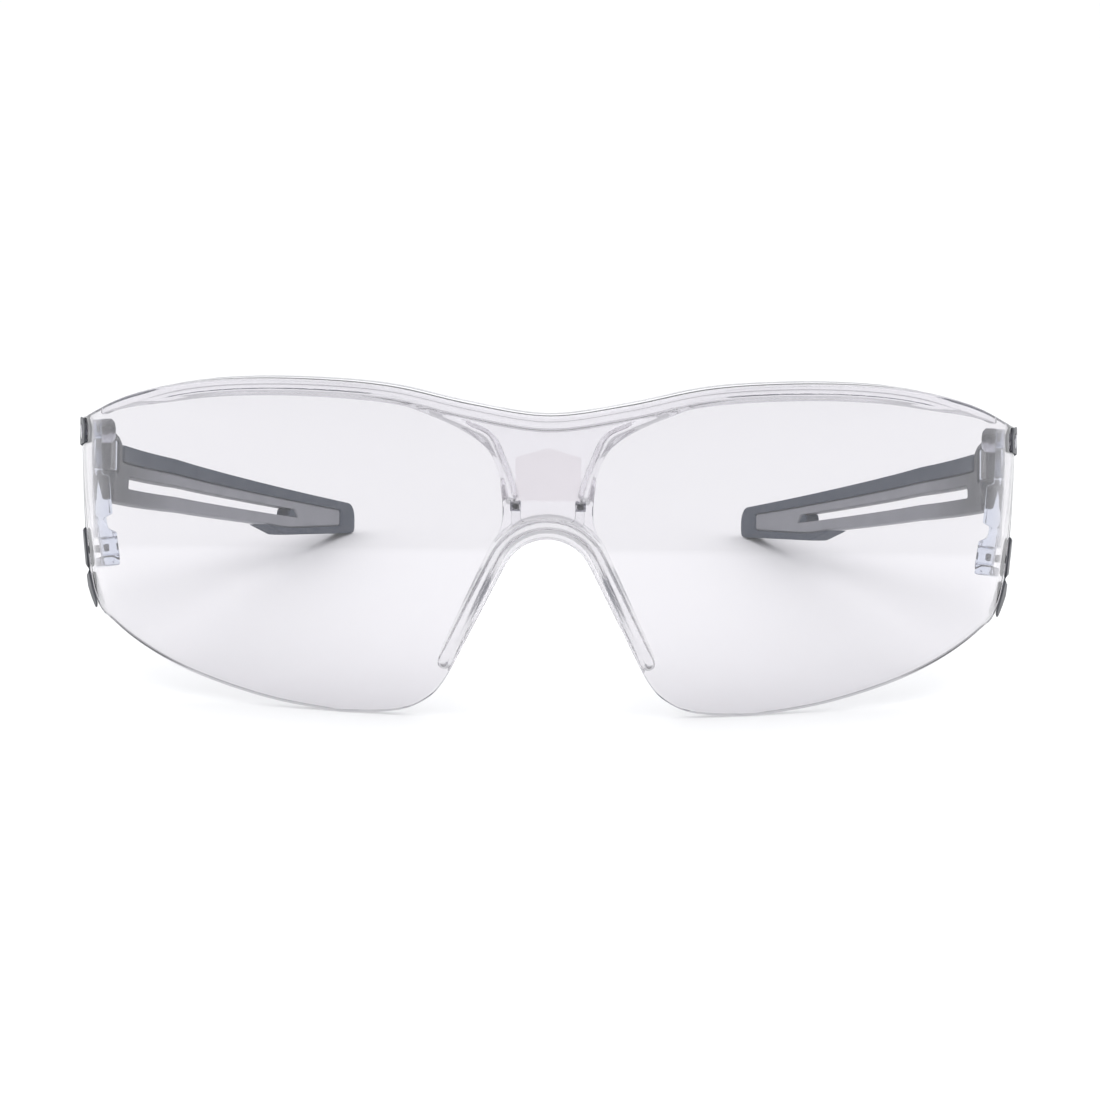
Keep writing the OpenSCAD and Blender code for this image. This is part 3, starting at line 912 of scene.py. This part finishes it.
def make_carrier(name, side):
    def place(s, z, t):
        return wrap(s, z, lens_thick(s) + GAP + t / CARRIER_T * carrier_depth(s, z))

    solid = Solid()
    bar = [(REAR_U, 5.2), (-6.4, 5.2), (-8.5, 4.4), (-9, 3), (BAR_U, 0), (BAR_U, -11.4),
           (BOX_U, -12), (BOX_U, -18.4), (REAR_U, -18.4), (REAR_U, POCKET_W[0]),
           (POCKET_U, POCKET_W[0]), (POCKET_U, POCKET_W[1]), (REAR_U, POCKET_W[1])]
    steps = [sheet_points([(u, w + d) for u in (BAR_U, REAR_U)])
             for w in WEB_W for d in (-WEB_EASE, 0, WEB_EASE)]
    add_slab(solid, [soften(sheet_points(bar), 0.3, 0.25), rivet_hole()], place, CARRIER_T,
             edge=0.3, grid=0.5, lines=steps)

    def lug(x, u, w):
        return in_hinge(x, u, w - LUG_H / 2)

    knuckle = [(KNUCKLE_R * math.sin(a), KNUCKLE_R * math.cos(a))
               for a in np.radians(np.arange(-100, 101, 10))]
    block = knuckle + [(1.5, -3.9), (-1.7, -3.9)]
    add_slab(solid, [soften(block, 0.25, 0.2), ring((0, 0), BORE_R, 32)], lug, LUG_H,
             edge=0.5, grid=0.6)
    make_piece(name + "_hinge_block", solid, "front", name + "_hinge_carrier",
               HINGE_PLASTIC, side)


# ---------------------------------------------------------------- side guards
GUARD_T = 0.36
SPINE = (0.1, 0.55)
SPINE_STEP = (0.05, 0.3)
FINGERS = ((1.55, 5.9), (-18, -12), (-23, -19.2))
FINGER_EASE = 0.2
TONGUE_U = (-4, -1.1)
TONGUE_W = (-15.9, -14.7)
TONGUE_T = 0.8


def make_guard(name, side):
    outline = [(-1.5, 5.6), (-4.6, 5.8), (-7.8, 5.3), (-8.9, 3.9), (-8, 1.4), (-2.6, 1.5),
               (-2.5, 1), (-2.5, -11.5), (-2.6, -12), (-3.0, -12.2), (-3.4, -13.6), (-3.5, -16.6),
               (-3.3, -18), (-2.6, -18.1), (-2.6, -19.1), (-3.6, -19.2), (-4.6, -22), (-5.4, -24.1),
               (-4.7, -24.9), (-1.6, -21.2)]

    def place(s, z, t):
        """Fingers on the lens's outer face, and the spine that joins them behind its edge."""
        u, w = from_sheet(s, z)
        behind = step_up(u, REAR_U + SPINE_STEP[0], REAR_U + SPINE_STEP[1])
        finger = sum(between(w, ends, FINGER_EASE) for ends in FINGERS)
        inner = -GAP + (SPINE[1] + GAP) * behind
        outer = -GUARD_T + (GUARD_T + SPINE[0]) * behind * (1 - finger)
        return wrap(s, z, inner + t / GUARD_T * (outer - inner))

    steps = [sheet_points([(REAR_U + d, w) for w in (-23, 5.8)]) for d in SPINE_STEP]
    steps += [sheet_points([(u, w + d) for u in (REAR_U, TONGUE_U[1])])
              for ends in FINGERS for w in ends for d in (-FINGER_EASE, FINGER_EASE)]
    solid = Solid()
    add_slab(solid, [soften(sheet_points(outline), 0.25, 0.2), rivet_hole()], place, GUARD_T,
             edge=0.17, grid=0.45, lines=steps)

    def tongue(s, z, t):
        return wrap(s, z, LENS_T + 1 + t)

    def root(s, z, t):
        return wrap(s, z, SPINE[1] - 0.2 + t)

    for u_ends, put_in, thick in ((TONGUE_U, tongue, TONGUE_T),
                                  ((-2.5, -1.15), root, LENS_T + 1.75 - SPINE[1])):
        loop = soften(sheet_points(rectangle(u_ends, TONGUE_W)), 0.2, 0.2)
        add_slab(solid, [loop], put_in, thick, edge=0.2, grid=0.5, arc=3)
    make_piece(name + "_guard_trim", solid, "front", name + "_side_guard",
               TRIM_PLASTIC, side)


# ---------------------------------------------------------------- rivets and pins
def make_rivet(name, side):
    spot = wrap(*RIVET_SPOT, 0.0)
    deep = wrap(*RIVET_SPOT, 1.0) - spot

    def place(x, y, h):
        across = np.cross(deep, (0, 0, 1))
        across /= np.linalg.norm(across)
        up = np.cross(across, deep)
        return spot + x[:, None] * across + y[:, None] * up + h[:, None] * deep

    profile = [(0, -0.42), (1.15, -0.42), (1.25, -0.36), (1.25, 3.1), (1.95, 3.1), (1.95, 5.2),
               (1.4, 5.75), (0, 5.9)]
    solid = Solid()
    add_lathe(solid, profile, place, edge=0.1, step=0.08, turns=40)
    make_piece(name + "_rivet", solid, "front", name + "_guard_rivet",
               RIVET_PLASTIC, side)


def make_pin(name, side):
    profile = [(0, -6.9), (0.8, -6.9), (PIN_R, -6.6), (PIN_R, 3.65), (PIN_HEAD_R, 3.65),
               (PIN_HEAD_R, 3.9), (1.4, 4.12), (0, 4.15)]
    solid = Solid()
    add_lathe(solid, profile, in_hinge, edge=0.08, step=0.06, turns=36)
    make_piece(name + "_hinge_rod", solid, "front", name + "_hinge_pin",
               TRIM_PLASTIC, side)


# ---------------------------------------------------------------- temples
def blade(u, w, t):
    """The temple's bent slab: t outwards from its middle surface."""
    root, tip = np.array([ROOT_X, 0.0]), np.array([TIP_X - HINGE[0], TEMPLE_L])
    chord = tip - root
    reach = math.sqrt(BEND_R ** 2 - chord @ chord / 4)
    centre = (root + tip) / 2 + np.array([-chord[1], chord[0]]) / np.linalg.norm(chord) * reach
    return in_hinge(centre[0] + np.sqrt((BEND_R + t) ** 2 - (u - centre[1]) ** 2), u, w)


def top_at(u):
    return TOP_W - TOP_FALL * u / TEMPLE_L


def band_at(u):
    return top_at(u) - (BAND_H - BAND_FALL * u / TEMPLE_L)


def slot_points(u0, u1):
    """Corners of the slot or of its plug; the upper two are set in at both ends."""
    middle = SLOT_W + SLOT_RISE * np.array([u0, u1]) / TEMPLE_L
    front, rear = [(SLOT_H[0] + (SLOT_H[1] - SLOT_H[0]) * u / PLUG_U[1]) / 2 for u in (u0, u1)]
    return [(u0, middle[0] - front), (u1, middle[1] - rear), (u1 - SLOT_LEAN[1], middle[1] + rear),
            (u0 + SLOT_LEAN[0], middle[0] + front)]


def core_outline():
    return ([(0, EAR_TOP), (2.4, EAR_TOP), (3.8, 2.9), (BAND_U, top_at(BAND_U)),
             (BAND_U, band_at(BAND_U)), (PANEL_U, band_at(PANEL_U))]
            + list(reversed(smooth(PAD_TOP, 5)))
            + [(3, -7.35), (0, EAR_FOOT), (0, -EAR_CUT), (2.7, -EAR_CUT), (2.7, EAR_CUT),
               (0, EAR_CUT)])


def grip_outline():
    """The band and the pad round the core's panel; the pad's rear corner stands on the table."""
    corner = [(TEMPLE_L - TIP_R + TIP_R * math.sin(a), top_at(TEMPLE_L) - TIP_R + TIP_R * math.cos(a))
              for a in np.radians(np.arange(0, 91, 15))]
    foot_u = TEMPLE_L - 0.5
    floor_w = (foot_u * math.sin(TILT) - HINGE[2]) / math.cos(TILT)
    return ([(BAND_U, top_at(BAND_U))] + corner
            + [(TEMPLE_L, floor_w + 0.8), (foot_u, floor_w), PAD_END] + smooth(PAD_TOP, 5)
            + [(PANEL_U, band_at(PANEL_U)), (BAND_U, band_at(BAND_U))])


def make_core(name, side):
    def place(u, w, t):
        return blade(u, w, t - CORE_T / 2)

    solid = Solid()
    slot = soften(slot_points(SLOT_U, PLUG_U[1]), 0.25, 0.3)
    add_slab(solid, [soften(core_outline(), 0.3, 0.4), slot], place, CORE_T, edge=0.6, grid=2.2)
    for low, high, low_r in ((EAR_FACE, EAR_TOP, KNUCKLE_R), (EAR_FOOT, -EAR_FACE, 1.05)):
        profile = [(0, low), (low_r, low), (KNUCKLE_R, max(low, high - 0.9)), (KNUCKLE_R, high),
                   (0, high)]
        add_lathe(solid, profile, in_hinge, edge=0.22, step=0.12, turns=40)
    make_piece(name + "_temple_arm", solid, name + "_temple", name + "_temple_core",
               TEMPLE_PLASTIC, side)


def make_grip(name, side):
    def place(u, w, t):
        return blade(u, w, t - GRIP_T / 2)

    def plug(u, w, t):
        return blade(u, w, t - CORE_T / 2 + 0.3)

    solid = Solid()
    add_slab(solid, [soften(grip_outline(), 0.35, 0.4)], place, GRIP_T, edge=0.6, grid=2.0)
    add_slab(solid, [soften(slot_points(*PLUG_U), 0.2, 0.25)], plug, CORE_T - 0.6,
             edge=0.2, grid=1.0, arc=2)
    make_piece(name + "_temple_overmould", solid, name + "_temple", name + "_temple_grip",
               GRIP_RUBBER, side)


# ---------------------------------------------------------------- stage
CAMERA_BACK, CAMERA_HIGH = 441.7, 112.55
CAMERA_DOWN = math.radians(11)
CAMERA_ROLL = math.radians(0.63)
CAMERA_TURN = 0.38 / 450
FOCAL_MM = 98.1


def make_camera():
    """About 450 mm from the lens, looking 11 degrees down on it."""
    data = bpy.data.cameras.new("camera")
    data.sensor_width = 36
    data.lens = FOCAL_MM
    data.clip_start, data.clip_end = 0.02, 60
    camera = bpy.data.objects.new("camera", data)
    bpy.context.scene.collection.objects.link(camera)
    place = Vector((0, FRONT_Y - CAMERA_BACK, CAMERA_HIGH)) * MM
    look = Vector((CAMERA_TURN, math.cos(CAMERA_DOWN), -math.sin(CAMERA_DOWN)))
    level = look.to_track_quat("-Z", "Y").to_matrix().to_4x4()
    camera.matrix_world = Matrix.Translation(place) @ level @ Matrix.Rotation(CAMERA_ROLL, 4, "Z")
    bpy.context.scene.camera = camera


def make_floor():
    """A wide white table, a little brighter in front than behind."""
    s = Shader("white_table")
    s.colour(s.ramp(s.axes()["Y"], (0.056, 0.91), (0.063, 0.835)))
    s.set(Roughness=0.9, Specular_IOR_Level=0.1)
    mesh = bpy.data.meshes.new("table")
    reach = 14.0
    mesh.from_pydata([(-reach, -reach, 0), (reach, -reach, 0), (reach, reach, 0),
                      (-reach, reach, 0)], [], [(0, 1, 2, 3)])
    mesh.materials.append(s.material)
    table = bpy.data.objects.new("table", mesh)
    bpy.context.scene.collection.objects.link(table)


def lamp(name, kind, place, aim, energy, **settings):
    data = bpy.data.lights.new(name, kind)
    data.energy = energy
    for key, value in settings.items():
        setattr(data, key, value)
    ob = bpy.data.objects.new(name, data)
    ob.location = place
    ob.rotation_euler = (Vector(aim) - Vector(place)).to_track_quat("-Z", "Y").to_euler()
    ob.visible_transmission = False
    bpy.context.scene.collection.objects.link(ob)


def make_light():
    """A wide soft light above, two long soft boxes and a room that darkens downwards."""
    lamp("overhead", "SUN", (0, 0.1, 2), (0, 0, 0), 1.25, angle=math.radians(115))
    for name, x in (("left_box", -0.7), ("right_box", 0.7)):
        lamp(name, "AREA", (x, -0.35, 0.6), (0, 0, 0.02), 1.0, shape="RECTANGLE", size=0.25,
             size_y=0.9)
    world = bpy.data.worlds.new("room")
    world.use_nodes = True
    nodes, links = world.node_tree.nodes, world.node_tree.links
    split = nodes.new("ShaderNodeSeparateXYZ")
    links.new(nodes.new("ShaderNodeTexCoord").outputs["Generated"], split.inputs[0])
    rise = nodes.new("ShaderNodeValToRGB")
    for mark, level in zip(rise.color_ramp.elements, (0.68, 0.95)):
        mark.color = (0.97 * level, 0.98 * level, level, 1)
    rise.color_ramp.interpolation = "EASE"
    links.new(split.outputs["Z"], rise.inputs[0])
    links.new(rise.outputs[0], nodes["Background"].inputs["Color"])
    bpy.context.scene.world = world
    bpy.context.scene.view_settings.view_transform = "Standard"


make_camera()
make_floor()
make_light()
make_lens()
make_brow()
make_nose()
for side_name, side_sign in SIDES.items():
    make_carrier(side_name, side_sign)
    make_guard(side_name, side_sign)
    make_rivet(side_name, side_sign)
    make_pin(side_name, side_sign)
    make_core(side_name, side_sign)
    make_grip(side_name, side_sign)
